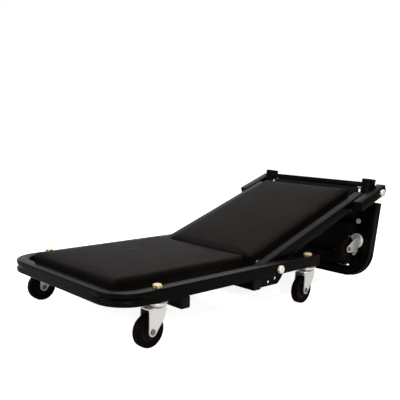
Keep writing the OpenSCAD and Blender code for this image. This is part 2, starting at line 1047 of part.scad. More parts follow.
module head_stems() {
    color("#cdbb88")
        for (side = [-1, 1]) {
            at_head_stem(side)
                stem_bolt();
        }
}

// ---- hinge bolts, along Y from outside the frame to the inner row

module hinge_bolt() {
    nut_in = inner_inside - shim_gap - washer_thick - hinge_nut_tall;
    pin(nut_in - hinge_past, outer_face + washer_thick - nut_in + hinge_past, hinge_r);
    hex(outer_face + washer_thick, hinge_head_tall, hinge_flats);
}

module hinge_nut() {
    nut_in = inner_inside - shim_gap - washer_thick - hinge_nut_tall;
    difference() {
        union() {
            hex(nut_in, hinge_nut_tall, hinge_flats);
            pin(nut_in + hinge_nut_tall, washer_thick, washer_r);
        }
        pin(nut_in - cut, hinge_nut_tall + washer_thick + 2*cut, hinge_r);
    }
    difference() {
        pin(outer_face, washer_thick, washer_r);
        pin(outer_face - cut, washer_thick + 2*cut, hinge_r);
    }
}

module fold_bolts() {
    color("#d0cfca")
        at_base_rails()
            both_sides()
                translate([fold_place, 0, 0])
                    hinge_bolt();
}

module fold_nuts() {
    color("#c6c5bf")
        at_base_rails()
            both_sides()
                translate([fold_place, 0, 0]) {
                    hinge_nut();
                    difference() {
                        pin(inner_face + shim_gap, side_gap - plate_thick - shim_gap, washer_r);
                        pin(inner_face, side_gap, hinge_r);
                    }
                }
}

module head_bolts() {
    color("#d0cfca")
        at_mid()
            both_sides()
                translate([mid_length, 0, 0])
                    hinge_bolt();
}

module head_nuts() {
    color("#c6c5bf")
        at_mid()
            both_sides()
                translate([mid_length, 0, 0])
                    hinge_nut();
}

// ---- the six casters: f front, r rear, h head, then n near or f far

module fork_fn() { color("#d5d6d4") at_front(-1) fork(); }
module axle_fn() { color("#b9bab8") at_front(-1) axle(); }
module hub_fn() { color("#1c1c1e") at_front(-1) hub(); }
module tyre_fn() { color("#101011") at_front(-1) tyre(); }
module fork_ff() { color("#d5d6d4") at_front(1) fork(); }
module axle_ff() { color("#b9bab8") at_front(1) axle(); }
module hub_ff() { color("#1c1c1e") at_front(1) hub(); }
module tyre_ff() { color("#101011") at_front(1) tyre(); }
module fork_rn() { color("#d5d6d4") at_rear(-1) fork(); }
module axle_rn() { color("#b9bab8") at_rear(-1) axle(); }
module hub_rn() { color("#1c1c1e") at_rear(-1) hub(); }
module tyre_rn() { color("#101011") at_rear(-1) tyre(); }
module fork_rf() { color("#d5d6d4") at_rear(1) fork(); }
module axle_rf() { color("#b9bab8") at_rear(1) axle(); }
module hub_rf() { color("#1c1c1e") at_rear(1) hub(); }
module tyre_rf() { color("#101011") at_rear(1) tyre(); }
module fork_hn() { color("#d5d6d4") at_head_stem(-1) fork(); }
module axle_hn() { color("#b9bab8") at_head_stem(-1) axle(); }
module hub_hn() { color("#1c1c1e") at_head_stem(-1) hub(); }
module tyre_hn() { color("#101011") at_head_stem(-1) tyre(); }
module fork_hf() { color("#d5d6d4") at_head_stem(1) fork(); }
module axle_hf() { color("#b9bab8") at_head_stem(1) axle(); }
module hub_hf() { color("#1c1c1e") at_head_stem(1) hub(); }
module tyre_hf() { color("#101011") at_head_stem(1) tyre(); }

base_rail();
base_bars();
base_caps();
hinge_plates();
base_board();
base_cushion();
base_screws();
base_caster_tops();
base_stems();
mid_rails();
mid_arms();
mid_straps();
mid_strap_bolts();
mid_caps();
mid_board();
mid_cushion();
mid_screws();
lock_barrels();
head_rail();
head_inner_tubes();
head_hinge_bar();
head_straps();
head_strap_bolts();
head_caps();
head_board();
head_cushion();
head_screws();
head_caster_tops();
head_stems();
fold_bolts();
fold_nuts();
head_bolts();
head_nuts();
lock_pin_near();
lock_pin_far();
fork_fn();
axle_fn();
hub_fn();
tyre_fn();
fork_ff();
axle_ff();
hub_ff();
tyre_ff();
fork_rn();
axle_rn();
hub_rn();
tyre_rn();
fork_rf();
axle_rf();
hub_rf();
tyre_rf();
fork_hn();
axle_hn();
hub_hn();
tyre_hn();
fork_hf();
axle_hf();
hub_hf();
tyre_hf();
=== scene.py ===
import json
import math

import bmesh
import bpy
from mathutils import Matrix, Vector

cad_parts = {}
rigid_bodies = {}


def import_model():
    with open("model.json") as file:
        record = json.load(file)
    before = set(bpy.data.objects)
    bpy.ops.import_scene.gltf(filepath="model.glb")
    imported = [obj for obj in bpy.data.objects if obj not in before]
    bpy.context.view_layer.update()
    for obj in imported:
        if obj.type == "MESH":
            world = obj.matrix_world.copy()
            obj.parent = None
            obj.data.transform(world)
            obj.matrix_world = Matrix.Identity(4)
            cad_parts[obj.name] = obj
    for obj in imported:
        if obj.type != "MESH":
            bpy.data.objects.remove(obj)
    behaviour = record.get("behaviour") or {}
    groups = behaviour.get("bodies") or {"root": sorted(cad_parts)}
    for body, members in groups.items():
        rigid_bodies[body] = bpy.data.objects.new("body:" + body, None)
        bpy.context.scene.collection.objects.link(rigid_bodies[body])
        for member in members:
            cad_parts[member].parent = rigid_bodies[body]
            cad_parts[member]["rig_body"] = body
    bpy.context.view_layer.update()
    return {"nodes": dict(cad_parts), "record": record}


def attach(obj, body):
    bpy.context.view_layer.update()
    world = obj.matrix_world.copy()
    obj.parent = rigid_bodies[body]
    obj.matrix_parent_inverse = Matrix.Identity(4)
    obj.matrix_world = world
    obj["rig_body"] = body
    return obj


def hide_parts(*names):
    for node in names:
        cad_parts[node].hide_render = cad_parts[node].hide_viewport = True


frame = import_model()
nodes = frame["nodes"]
scene = bpy.context.scene
MM = 0.001

# Sizes in millimetres, the same as in part.scad
MID_X = 429.308
FOLD_X = 430.0
MID_LEN = 426.0
FOLD = 19.6
HEAD = 118.0
RAIL_Z = 95.6
TUBE = 25.4
HALF = TUBE / 2
OUTER = 205.7
OUT_ROW = 193.0
IN_ROW = 163.6
BASE_LEN = 578.0
BEND_R = 65.5
IN_FACE = 176.3
IN_INSIDE = 150.9
HEAD_LEN = 227.5
ARM_FRONT = 23.7
ARM_BACK = 91.0
RAIL_END = 390.43
STUB = 32.8
TAIL = 45.5
HEAD_RAIL = 26.4
PLATE_HALF = 9.0
FLANGE = 2.0
BAR = 22.8
BARS = (157.0, 359.6)
STEMS = (98.0, 547.5)
HEAD_STEM = 132.5

# Sizes of the looks alone, in millimetres
RAIL_CORNER = 2.7
INNER_CORNER = 2.4
BAR_CORNER = 2.2
BAR_Z = -HALF - BAR / 2
TUBE_EASE = 0.6
GROOVE = 4.5
GROOVE_HALF = 5.5
GROOVE_FADE = 0.15
BEND_STEPS = 22

# Each section's frame: x along its rails, z square to its cushion,
# and the origin at the base's front end or on the section's own pivot
TO_BASE = Matrix.Translation((-MID_X * MM, 0, RAIL_Z * MM))
TO_MID = (TO_BASE @ Matrix.Translation((FOLD_X * MM, 0, 0))
          @ Matrix.Rotation(math.radians(-FOLD), 4, "Y"))
TO_HEAD = (TO_MID @ Matrix.Translation((MID_LEN * MM, 0, 0))
           @ Matrix.Rotation(math.radians(HEAD), 4, "Y"))

SIDES = (-1, 1)      # near and far

# Camera fitted to the photograph; EYE is measured from the base's front end, on the floor
IMAGE_PX = 400.0
FOCAL_PX = 596.0
SENSOR = 36.0
SHIFT = (-0.0037, 0.1024)
EYE = (-565.565, -999.635, 397.81)
RIGHT = (0.7261, -0.6871, 0.0256)
AHEAD = (0.6784, 0.7097, -0.1901)


def make_camera():
    cam = bpy.data.cameras.new("camera")
    cam.sensor_width = SENSOR
    cam.lens = FOCAL_PX / IMAGE_PX * SENSOR
    cam.shift_x, cam.shift_y = SHIFT
    cam.clip_start = 0.01
    cam.clip_end = 60
    obj = bpy.data.objects.new("camera", cam)
    scene.collection.objects.link(obj)
    right = Vector(RIGHT).normalized()
    ahead = Vector(AHEAD).normalized()
    up = right.cross(ahead).normalized()
    ahead = up.cross(right).normalized()
    rot = Matrix((right, up, -ahead)).transposed()
    eye = ((EYE[0] - MID_X) * MM, EYE[1] * MM, EYE[2] * MM)
    obj.matrix_world = Matrix.Translation(eye) @ rot.to_4x4()
    scene.camera = obj


# Materials

def new_material(name):
    m = bpy.data.materials.new(name)
    m.use_nodes = True
    tree = m.node_tree
    tree.nodes.clear()
    out = tree.nodes.new("ShaderNodeOutputMaterial")
    bsdf = tree.nodes.new("ShaderNodeBsdfPrincipled")
    tree.links.new(bsdf.outputs[0], out.inputs[0])
    return m, tree, bsdf


def coords(tree, stretch=None):
    tc = tree.nodes.new("ShaderNodeTexCoord")
    if stretch is None:
        return tc.outputs["Object"]
    mp = tree.nodes.new("ShaderNodeMapping")
    mp.inputs["Scale"].default_value = stretch
    tree.links.new(tc.outputs["Object"], mp.inputs["Vector"])
    return mp.outputs[0]


def noise(tree, vec, scale, detail=3.0, rough=0.5):
    n = tree.nodes.new("ShaderNodeTexNoise")
    n.inputs["Scale"].default_value = scale
    n.inputs["Detail"].default_value = detail
    n.inputs["Roughness"].default_value = rough
    tree.links.new(vec, n.inputs["Vector"])
    return n.outputs["Fac"]


def paint(tree, bsdf, fac, lo, hi, start=0.3, end=0.7):
    """the base colour runs from lo to hi while fac runs from start to end"""
    r = tree.nodes.new("ShaderNodeValToRGB")
    for e, pos, col in zip(r.color_ramp.elements, (start, end), (lo, hi)):
        e.position = pos
        e.color = (*col, 1.0)
    tree.links.new(fac, r.inputs["Fac"])
    tree.links.new(r.outputs["Color"], bsdf.inputs["Base Color"])


def roughen(tree, bsdf, fac, rough):
    """the roughness runs over the pair rough while fac runs from 0.3 to 0.7"""
    m = tree.nodes.new("ShaderNodeMapRange")
    m.inputs["From Min"].default_value = 0.3
    m.inputs["From Max"].default_value = 0.7
    m.inputs["To Min"].default_value = rough[0]
    m.inputs["To Max"].default_value = rough[1]
    tree.links.new(fac, m.inputs["Value"])
    tree.links.new(m.outputs["Result"], bsdf.inputs["Roughness"])


def maths(tree, op, a, b):
    m = tree.nodes.new("ShaderNodeMath")
    m.operation = op
    for k, v in enumerate((a, b)):
        if isinstance(v, (int, float)):
            m.inputs[k].default_value = v
        else:
            tree.links.new(v, m.inputs[k])
    return m.outputs[0]


def bump(tree, bsdf, heights):
    """heights: list of (socket, strength, distance); each bump feeds the next"""
    last = None
    for height, strength, distance in heights:
        b = tree.nodes.new("ShaderNodeBump")
        b.inputs["Strength"].default_value = strength
        b.inputs["Distance"].default_value = distance
        tree.links.new(height, b.inputs["Height"])
        if last is not None:
            tree.links.new(last, b.inputs["Normal"])
        last = b.outputs["Normal"]
    tree.links.new(last, bsdf.inputs["Normal"])


def powder_coat(name, lo, hi, rough=(0.22, 0.30), spec=0.022):
    m, t, s = new_material(name)
    v = coords(t)
    big = noise(t, v, 7.0, 4.0)
    fine = noise(t, v, 520.0, 2.0)
    both = maths(t, "ADD", maths(t, "MULTIPLY", big, 0.7), maths(t, "MULTIPLY", fine, 0.3))
    paint(t, s, both, lo, hi, 0.32, 0.68)
    roughen(t, s, noise(t, v, 38.0, 4.0), rough)
    s.inputs["Specular IOR Level"].default_value = spec
    s.inputs["Coat Weight"].default_value = 0.02
    s.inputs["Coat Roughness"].default_value = 0.14
    bump(t, s, [(noise(t, v, 850.0, 2.0), 0.10, 0.0002), (noise(t, v, 160.0, 2.0), 0.05, 0.0004)])
    return m


def vinyl(name, lo, hi):
    m, t, s = new_material(name)
    v = coords(t)
    paint(t, s, noise(t, v, 9.0, 3.0), lo, hi)
    grain = t.nodes.new("ShaderNodeTexVoronoi")
    grain.inputs["Scale"].default_value = 620.0
    t.links.new(v, grain.inputs["Vector"])
    roughen(t, s, noise(t, v, 60.0, 3.0), (0.38, 0.46))
    s.inputs["Specular IOR Level"].default_value = 0.003
    s.inputs["Coat Weight"].default_value = 0.03
    s.inputs["Coat Roughness"].default_value = 0.17
    bump(t, s, [(grain.outputs["Distance"], 0.22, 0.0004), (noise(t, v, 45.0, 3.0), 0.12, 0.0012)])
    return m


def zinc(name, base, rough=(0.30, 0.42)):
    m, t, s = new_material(name)
    v = coords(t)
    paint(t, s, noise(t, v, 70.0, 5.0, 0.6), tuple(c * 0.93 for c in base), base)
    roughen(t, s, noise(t, v, 130.0, 4.0), rough)
    s.inputs["Metallic"].default_value = 0.7
    s.inputs["Specular IOR Level"].default_value = 0.1
    bump(t, s, [(noise(t, v, 420.0, 2.0), 0.08, 0.0002)])
    return m


def rubber(name, lo, hi, rough=(0.5, 0.65), spec=0.02):
    m, t, s = new_material(name)
    v = coords(t)
    paint(t, s, noise(t, v, 55.0, 4.0), lo, hi)
    roughen(t, s, noise(t, v, 90.0, 3.0), rough)
    s.inputs["Specular IOR Level"].default_value = spec
    bump(t, s, [(noise(t, v, 700.0, 2.0), 0.15, 0.0002)])
    return m


def plywood(name):
    """stained dark; the grain is stretched along x"""
    m, t, s = new_material(name)
    grain = noise(t, coords(t, (1.0, 14.0, 14.0)), 22.0, 5.0, 0.65)
    paint(t, s, grain, (0.003, 0.0027, 0.0025), (0.007, 0.0062, 0.0055))
    roughen(t, s, grain, (0.6, 0.8))
    s.inputs["Specular IOR Level"].default_value = 0.06
    bump(t, s, [(grain, 0.3, 0.0005)])
    return m


M_FRAME = powder_coat("frame_black", (0.0014, 0.0011, 0.0012), (0.0026, 0.0021, 0.0023))
M_CAP = powder_coat("cap_plastic", (0.0022, 0.0019, 0.0019), (0.004, 0.0036, 0.0036),
                    (0.42, 0.55), 0.05)
M_CUSHION = vinyl("cushion_vinyl", (0.0062, 0.0052, 0.0047), (0.0088, 0.0076, 0.0069))
M_BOARD = plywood("board_black")
M_ZINC = zinc("zinc_bright", (0.70, 0.71, 0.72))
M_AXLE = zinc("zinc_axle", (0.15, 0.15, 0.155))
# painted shade: zinc darkened to stand in for the shade inside the forks and on the ball race
M_PAINTED_SHADE_ZINC = zinc("zinc_painted_shade", (0.06, 0.06, 0.063), (0.45, 0.6))
# painted shade: zinc darkened so the screws and the washers under the pivot bolt heads read as in
# shade
M_SCREW_PAINTED_SHADE = zinc("zinc_screw_painted_shade", (0.022, 0.022, 0.023), (0.4, 0.5))
M_YELLOW = zinc("zinc_yellow", (0.62, 0.50, 0.28))
M_CREAM = zinc("zinc_cream", (0.90, 0.86, 0.74))
M_TYRE = rubber("tyre_black", (0.0018, 0.0010, 0.0007), (0.0040, 0.0023, 0.0015))
M_HUB = rubber("hub_black", (0.0025, 0.0022, 0.0022), (0.005, 0.0045, 0.0045), (0.4, 0.5), 0.05)
BY_SLOT = {"frame": M_FRAME, "cap": M_CAP, "board": M_BOARD, "cushion": M_CUSHION,
           "zinc": M_ZINC, "zinc_yellow": M_YELLOW, "hub": M_HUB, "tyre": M_TYRE}


# Mesh helpers

def sharp(e, limit):
    """true for an edge whose two faces turn by more than limit, in radians"""
    return len(e.link_faces) == 2 and e.calc_face_angle(0.0) > limit


def shade(bm, angle):
    """smooth shading, apart from the edges that turn by more than angle, in degrees"""
    limit = math.radians(angle)
    for f in bm.faces:
        f.smooth = True
    for e in bm.edges:
        e.smooth = not sharp(e, limit)


def round_edges(bm, edges, width, segments):
    bmesh.ops.bevel(bm, geom=edges, offset=width, offset_type="OFFSET", segments=segments,
                    profile=0.5, affect="EDGES", clamp_overlap=True)


def add_mesh(name, verts, faces, place, material, angle=40.0):
    """a smooth object from points in a section's or a caster's own millimetres"""
    me = bpy.data.meshes.new(name)
    me.from_pydata([tuple(c * MM for c in v) for v in verts], [], faces)
    obj = bpy.data.objects.new(name, me)
    scene.collection.objects.link(obj)
    me.transform(place)
    bm = bmesh.new()
    bm.from_mesh(me)
    bmesh.ops.remove_doubles(bm, verts=bm.verts, dist=1e-6)
    bmesh.ops.recalc_face_normals(bm, faces=bm.faces)
    shade(bm, angle)
    bm.to_mesh(me)
    bm.free()
    me.update()
    me.materials.append(material)
    return obj


def settle(obj, body, slot, *replaced):
    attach(obj, body)
    if replaced:
        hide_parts(*replaced)
    return obj


def rounded_copy(node, width, segments):
    """the CAD node's own shape with its sharp edges rounded"""
    me = nodes[node].data.copy()
    me.materials.clear()
    bm = bmesh.new()
    bm.from_mesh(me)
    bmesh.ops.remove_doubles(bm, verts=bm.verts, dist=2e-6)
    bmesh.ops.dissolve_limit(bm, angle_limit=math.radians(1.0), verts=bm.verts, edges=bm.edges)
    bmesh.ops.recalc_face_normals(bm, faces=bm.faces)
    round_edges(bm, [e for e in bm.edges if sharp(e, math.radians(30.0))], width * MM, segments)
    bmesh.ops.recalc_face_normals(bm, faces=bm.faces)
    shade(bm, 35)
    bm.to_mesh(me)
    bm.free()
    obj = bpy.data.objects.new(node + "_shaped", me)
    scene.collection.objects.link(obj)
    return obj


def skin(rings):
    """quads between rings of equal length, with both ends closed"""
    n = len(rings[0])
    verts = [p for r in rings for p in r]
    faces = []
    for i in range(len(rings) - 1):
        for j in range(n):
            a, b = i * n + j, i * n + (j + 1) % n
            faces.append((a, b, b + n, a + n))
    faces.append(tuple(range(n))[::-1])
    faces.append(tuple((len(rings) - 1) * n + j for j in range(n)))
    return verts, faces


def circle(r, z, n):
    return [(r * math.cos(2 * math.pi * j / n), r * math.sin(2 * math.pi * j / n), z)
            for j in range(n)]


def square_profile(side, radius, groove=0.0, corner=5, flat=14):
    """(u, v) points round a square tube; the groove is pressed into the wall at +u"""
    a = side / 2 - radius
    pts = []
    for cx, cy, a0 in ((a, -a, -90), (a, a, 0), (-a, a, 90), (-a, -a, 180)):
        for k in range(corner + 1):
            t = math.radians(a0 + 90 * k / corner)
            pts.append((cx + radius * math.cos(t), cy + radius * math.sin(t)))
        if (cx, cy) == (a, -a):
            for k in range(1, flat):
                v = -a + 2 * a * k / flat
                u = side / 2
                if abs(v) < GROOVE_HALF:
                    u -= groove * 0.5 * (1 + math.cos(math.pi * v / GROOVE_HALF))
                pts.append((u, v))
    return pts


def u_rail_rings(reach):
    """rings of the U tube, from one open end round to the other; x = 0 is the closed end"""
    stations = []       # centre, outward direction and share of the groove's depth
    r = BEND_R - HALF
    y0 = OUT_ROW - r
    xs = [reach, BEND_R + 60, BEND_R + 26, BEND_R + 12]

    def leg(x, side):
        share = 0.0 if x > BEND_R + 20 else GROOVE_FADE
        stations.append(((x, side * OUT_ROW), (0, side), share))

    def bend(cy, start):
        for k in range(BEND_STEPS + 1):
            t = k / BEND_STEPS
            a = math.radians(start - 90 * t)
            c, s = math.cos(a), math.sin(a)
            share = min(1.0, 0.35 + 4.0 * t, 0.35 + 4.0 * (1 - t))
            stations.append(((BEND_R + r * c, cy + r * s), (c, s), share))

    for x in xs:
        leg(x, -1)
    bend(-y0, -90)
    for y in (-y0 + 12, -y0 + 26, 0, y0 - 26, y0 - 12):
        stations.append(((HALF, y), (-1, 0), GROOVE_FADE if abs(y) > y0 - 20 else 0.0))
    bend(y0, 180)
    for x in xs[::-1]:
        leg(x, 1)
    rings = []
    for (px, py), (nx, ny), share in stations:
        prof = square_profile(TUBE, RAIL_CORNER, GROOVE * share)
        rings.append([(px + u * nx, py + u * ny, v) for u, v in prof])
    return rings


def straight_tube(x0, x1, y):
    """inner tube along x with eased ends"""
    ease = TUBE_EASE
    rings = []
    for x, inset in ((x0, ease), (x0 + ease, 0.0), (x1 - ease, 0.0), (x1, ease)):
        prof = square_profile(TUBE - 2 * inset, INNER_CORNER - inset, flat=2)
        rings.append([(x, y + u, v) for u, v in prof])
    return rings


# Cushions: all three have the same height, crown and edge
PAD_LOW = -1.7
PAD_TOP = 27.3
PAD_FOOT = -12.4
CROWN = 2.7
ROLL = 5.5
ROLL_STEPS = 8
CROWN_STEPS = 16
PAD_CORNER_STEPS = 7
PAD_SIDE_STEPS = (30, 24)


def rounded_rect(hx, hy, r, pull):
    """rectangle with round corners, whose sides are drawn in by pull at their middle"""
    pts = []
    corners = ((1, 1, 0), (-1, 1, 90), (-1, -1, 180), (1, -1, 270))

    def on_corner(sx, sy, a):
        return Vector((sx * (hx - r) + r * math.cos(a), sy * (hy - r) + r * math.sin(a), 0))

    for k, (sx, sy, a0) in enumerate(corners):
        for j in range(PAD_CORNER_STEPS + 1):
            pts.append(on_corner(sx, sy, math.radians(a0 + 90 * j / PAD_CORNER_STEPS)))
        last = pts[-1]
        nx, ny, b0 = corners[(k + 1) % 4]
        d = on_corner(nx, ny, math.radians(b0)) - last
        side = Vector((-d.y, d.x, 0)).normalized()
        n = PAD_SIDE_STEPS[k % 2]
        for j in range(1, n):
            t = j / n
            pts.append(last + d * t + side * pull * math.sin(math.pi * t))
    return pts


def pad_rings(x0, x1, half, top, crown, corner, pull):
    """closed loops from the foot of the wrapped board up over the rolled edge to the crown"""
    hx, cx = (x1 - x0) / 2, (x0 + x1) / 2
    tall = top - PAD_LOW
    foot = PAD_FOOT - PAD_LOW
    # inset from the outline, height over PAD_LOW, share of the sides' pull
    steps = [(5.0, foot + 0.2, 0.7), (2.0, foot, 0.8), (0.9, foot + 0.8, 0.9),
             (0.5, foot + 4.0, 1.0), (0.25, foot + 9.0, 1.0),
             (0.1, 2.0, 1.0), (0.0, 8.0, 1.0), (0.0, tall - ROLL, 1.0)]
    for k in range(1, ROLL_STEPS + 1):
        a = math.radians(90 * k / ROLL_STEPS)
        steps.append((ROLL * (1 - math.cos(a)), tall - ROLL + ROLL * math.sin(a), 1.0))
    inner = min(hx, half)
    for k in range(1, CROWN_STEPS + 1):
        u = k / CROWN_STEPS
        steps.append((ROLL + u * 0.93 * (inner - ROLL), tall + crown * (1 - (1 - u) ** 2), 1 - u))
    rings = []
    for inset, z, share in steps:
        loop = rounded_rect(hx - inset, half - inset, max(corner - inset, 3.0), pull * share)
        rings.append([(cx + p.x, p.y, PAD_LOW + z) for p in loop])
    return rings


CLOTH_VOXEL = 4.0
CLOTH_PRESSURE = 4.0
CLOTH_FRAMES = 20
CLOTH_REACH = 1.2


def swell(obj, to_local, pin_z):
    """cloth under pressure; points below pin_z stay, and none moves further than CLOTH_REACH"""
    rm = obj.modifiers.new("remesh", "REMESH")
    rm.mode = "VOXEL"
    rm.voxel_size = CLOTH_VOXEL * MM
    deps = bpy.context.evaluated_depsgraph_get()
    fine = bpy.data.meshes.new_from_object(obj.evaluated_get(deps))
    obj.modifiers.clear()
    obj.data = fine
    group = obj.vertex_groups.new(name="held")
    start = [v.co.copy() for v in fine.vertices]
    for v in fine.vertices:
        z = (to_local @ v.co).z / MM
        if z < pin_z:
            group.add([v.index], 1.0, "REPLACE")
    cloth = obj.modifiers.new("cloth", "CLOTH")
    st = cloth.settings
    st.quality = 6
    st.mass = 0.25
    st.tension_stiffness = 18
    st.compression_stiffness = 18
    st.shear_stiffness = 9
    st.bending_stiffness = 1.2
    st.use_pressure = True
    st.uniform_pressure_force = CLOTH_PRESSURE
    st.vertex_group_mass = "held"
    st.effector_weights.gravity = 0.0
    cloth.collision_settings.use_collision = False
    cloth.collision_settings.use_self_collision = False
    cloth.point_cache.frame_start = 1
    cloth.point_cache.frame_end = CLOTH_FRAMES
    for f in range(1, CLOTH_FRAMES + 1):
        scene.frame_set(f)
    deps = bpy.context.evaluated_depsgraph_get()
    shaped = bpy.data.meshes.new_from_object(obj.evaluated_get(deps))
    obj.modifiers.clear()
    for v, s in zip(shaped.vertices, start):
        d = v.co - s
        if d.length > CLOTH_REACH * MM:
            v.co = s + d.normalized() * CLOTH_REACH * MM
    obj.data = shaped
    bpy.data.meshes.remove(fine)
    scene.frame_set(1)


PLEAT_REACH = 46
PLEAT_DEPTH = 0.55
PLEAT_WAVES = 11.0
PLEAT_FADE = 16.0


def pleat(x, y, z, hx, half):
    """how far the vinyl is drawn in where it is gathered round a corner"""
    top = PAD_TOP - 5
    gap = math.hypot(hx - abs(x), half - abs(y))
    if gap > PLEAT_REACH or z > top:
        return 0.0
    ang = math.atan2(half - abs(y) + 6, hx - abs(x) + 6)
    wave = 0.5 - 0.5 * math.cos(ang * PLEAT_WAVES)
    return PLEAT_DEPTH * wave * (1 - gap / PLEAT_REACH) * min(1.0, (top - z) / PLEAT_FADE)


def pad(name, x0, x1, half, place, body, replaced, corner=11.0, pull=0.8):
    """vinyl over foam and board: swollen under slight pressure, then gathered at the corners"""
    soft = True
    # the cloth swells, so it starts a little smaller
    shy, lower, crown = (0.5, 0.6, CROWN * 0.8) if soft else (0.0, 0.0, CROWN)
    rings = pad_rings(x0 + shy, x1 - shy, half - shy, PAD_TOP - lower, crown, corner, pull)
    obj = add_mesh(name, *skin(rings), place, M_CUSHION, 60)
    inv = place.inverted()
    if soft:
        swell(obj, inv, PAD_FOOT + 5.0)
        obj.data.materials.clear()
        obj.data.materials.append(M_CUSHION)
    me = obj.data
    hx, cx = (x1 - x0) / 2, (x0 + x1) / 2
    for v in me.vertices:
        p = inv @ v.co / MM
        lx = p.x - cx
        d = pleat(lx, p.y, p.z, hx, half)
        if d:
            k = Vector((lx / hx, p.y / half, 0)).normalized()
            v.co = place @ ((p - k * d) * MM)
    if soft:
        sub = obj.modifiers.new("finer", "SUBSURF")
        sub.levels = sub.render_levels = 1
    for f in me.polygons:
        f.use_smooth = True
    settle(obj, body, "cushion", replaced)


# Casters: z = 0 is the underside of the tube, the stem stands on the origin, the wheel trails to -x
DROP = 51.15
TRAIL = 21.0
FORK_IN = 11.5
SHEET = 2.3
CROWN_TOP = -7.8
LEG_R = 8.6
DISH_R = 16.3
WHEEL = (-TRAIL, 0.0, -DROP)

# Bolts, nuts and washers
FLATS = 16.0
HEAD_TALL = 6.4
STEM_NUT = 5.5
PIVOT_NUT = 7.0
BOLT_R = 5.0
BOLT_STEPS = 28
PIVOT_SHANK = 57.6
WASHER_R = 9.0
WASHER = 1.6
SHIM = 0.8
HEX_STEPS = 48
ALONG_Y = Matrix.Rotation(math.radians(-90), 3, "X")
AGAINST_Y = Matrix.Rotation(math.radians(90), 3, "X")


def revolve(profile, n=48, axis="z", center=(0.0, 0.0, 0.0)):
    """closed ring of (r, h) points turned about an axis; points at r = 0 make caps"""
    verts, faces = [], []
    cx, cy, cz = center
    for k in range(n):
        a = 2 * math.pi * k / n
        for r, h in profile:
            if axis == "z":
                verts.append((cx + r * math.cos(a), cy + r * math.sin(a), cz + h))
            else:
                verts.append((cx + r * math.cos(a), cy + h, cz + r * math.sin(a)))
    m = len(profile)
    for k in range(n):
        for j in range(m):
            a, b = k * m + j, k * m + (j + 1) % m
            c, d = ((k + 1) % n) * m + (j + 1) % m, ((k + 1) % n) * m + j
            faces.append((a, b, c, d))
    return verts, faces


def both_sides(half):
    """a profile of (r, h) points carried on to its mirror image below h = 0"""
    return half + [(r, -h) for r, h in reversed(half)]


def merge(*parts):
    verts, faces = [], []
    for v, f in parts:
        n = len(verts)
        verts += v
        faces += [tuple(i + n for i in g) for g in f]
    return verts, faces


def fork_shape():
    """sheet bent over the wheel: legs, rounded shoulders and a crown with a raised dish"""
    t = SHEET / 2
    leg = FORK_IN + t
    top = CROWN_TOP - t
    bend = 3.6
    step = 2.2
    path = []           # y, z and outward direction down the middle of the sheet
    zs = [-DROP - LEG_R + 0.01]
    for k in range(1, 9):
        zs.append(-DROP - LEG_R * math.cos(math.radians(90 * k / 8)))
    z = -DROP
    while z < top - bend - step:
        z += step
        zs.append(z)
    zs.append(top - bend)
    for z in zs:
        path.append((leg, z, 1.0, 0.0))
    for k in range(1, 7):
        a = math.radians(90 * k / 6)
        c, s = math.cos(a), math.sin(a)
        path.append((leg - bend + bend * c, top - bend + bend * s, c, s))
    inner = leg - bend
    path += [(inner * (1 - k / 8), top, 0.0, 1.0) for k in range(1, 9)]
    path += [(-y, z, -ny, nz) for y, z, ny, nz in reversed(path[:-1])]
    # the back edge runs straight from the leg's round end to a knee, and from there to the crown
    knee_z, knee_x, crown_x = CROWN_TOP - 22.0, 5.9, 12.2
    low = math.radians(36)
    low_z = -DROP - LEG_R * math.sin(low)
    low_x = -TRAIL + LEG_R * math.cos(low)
    crown_r, crown_bulge = 16.0, 1.2

    def span(y, z):
        """front and back edge of the sheet at this place"""
        w = math.sqrt(max(LEG_R ** 2 - (z + DROP) ** 2, 0.0))
        if z < -DROP:
            front = -TRAIL - w
        else:
            front = -TRAIL - LEG_R + (z + DROP) / (DROP + CROWN_TOP)
        if z < low_z:
            back = -TRAIL + w
        elif z < knee_z:
            back = low_x + (knee_x - low_x) * (z - low_z) / (knee_z - low_z)
        else:
            back = knee_x + (crown_x - knee_x) * min(1.0, (z - knee_z) / (CROWN_TOP - knee_z))
        if abs(y) < inner + 0.01:
            back = max(back, math.sqrt(max(crown_r ** 2 - y * y, 0.0)))
            u = abs(y) / inner
            front = front - crown_bulge * (1 - u * u)
        return front, back

    steps = 10
    rings = []
    for y, z, ny, nz in path:
        f, b = span(y, z)
        outside, inside = [], []
        for k in range(steps + 1):
            x = f + (b - f) * k / steps
            lift = 0.0
            if nz > 0.99:
                lift = max(0.0, min(1.0, (DISH_R - math.hypot(x, y)) / 2.0))
            outside.append((x, y + ny * t, z + nz * t + lift))
            inside.append((x, y - ny * t, z - nz * t + lift))
        rings.append(outside + inside[::-1])
    return skin(rings)


def round_rims(obj, width):
    """rounds the sheared edges of a sheet piece"""
    me = obj.data
    bm = bmesh.new()
    bm.from_mesh(me)
    round_edges(bm, [e for e in bm.edges if sharp(e, math.radians(50.0))], width * MM, 2)
    shade(bm, 38)
    bm.to_mesh(me)
    bm.free()


def paint_shade_inside(obj, place):
    """the sheet's inner faces get darkened zinc: painted shade inside the fork"""
    obj.data.materials.append(M_PAINTED_SHADE_ZINC)
    inv = place.inverted()
    for f in obj.data.polygons:
        p = inv @ f.center / MM
        if abs(p.y) < FORK_IN + 0.25 and p.z < CROWN_TOP - SHEET + 0.25:
            f.material_index = 1


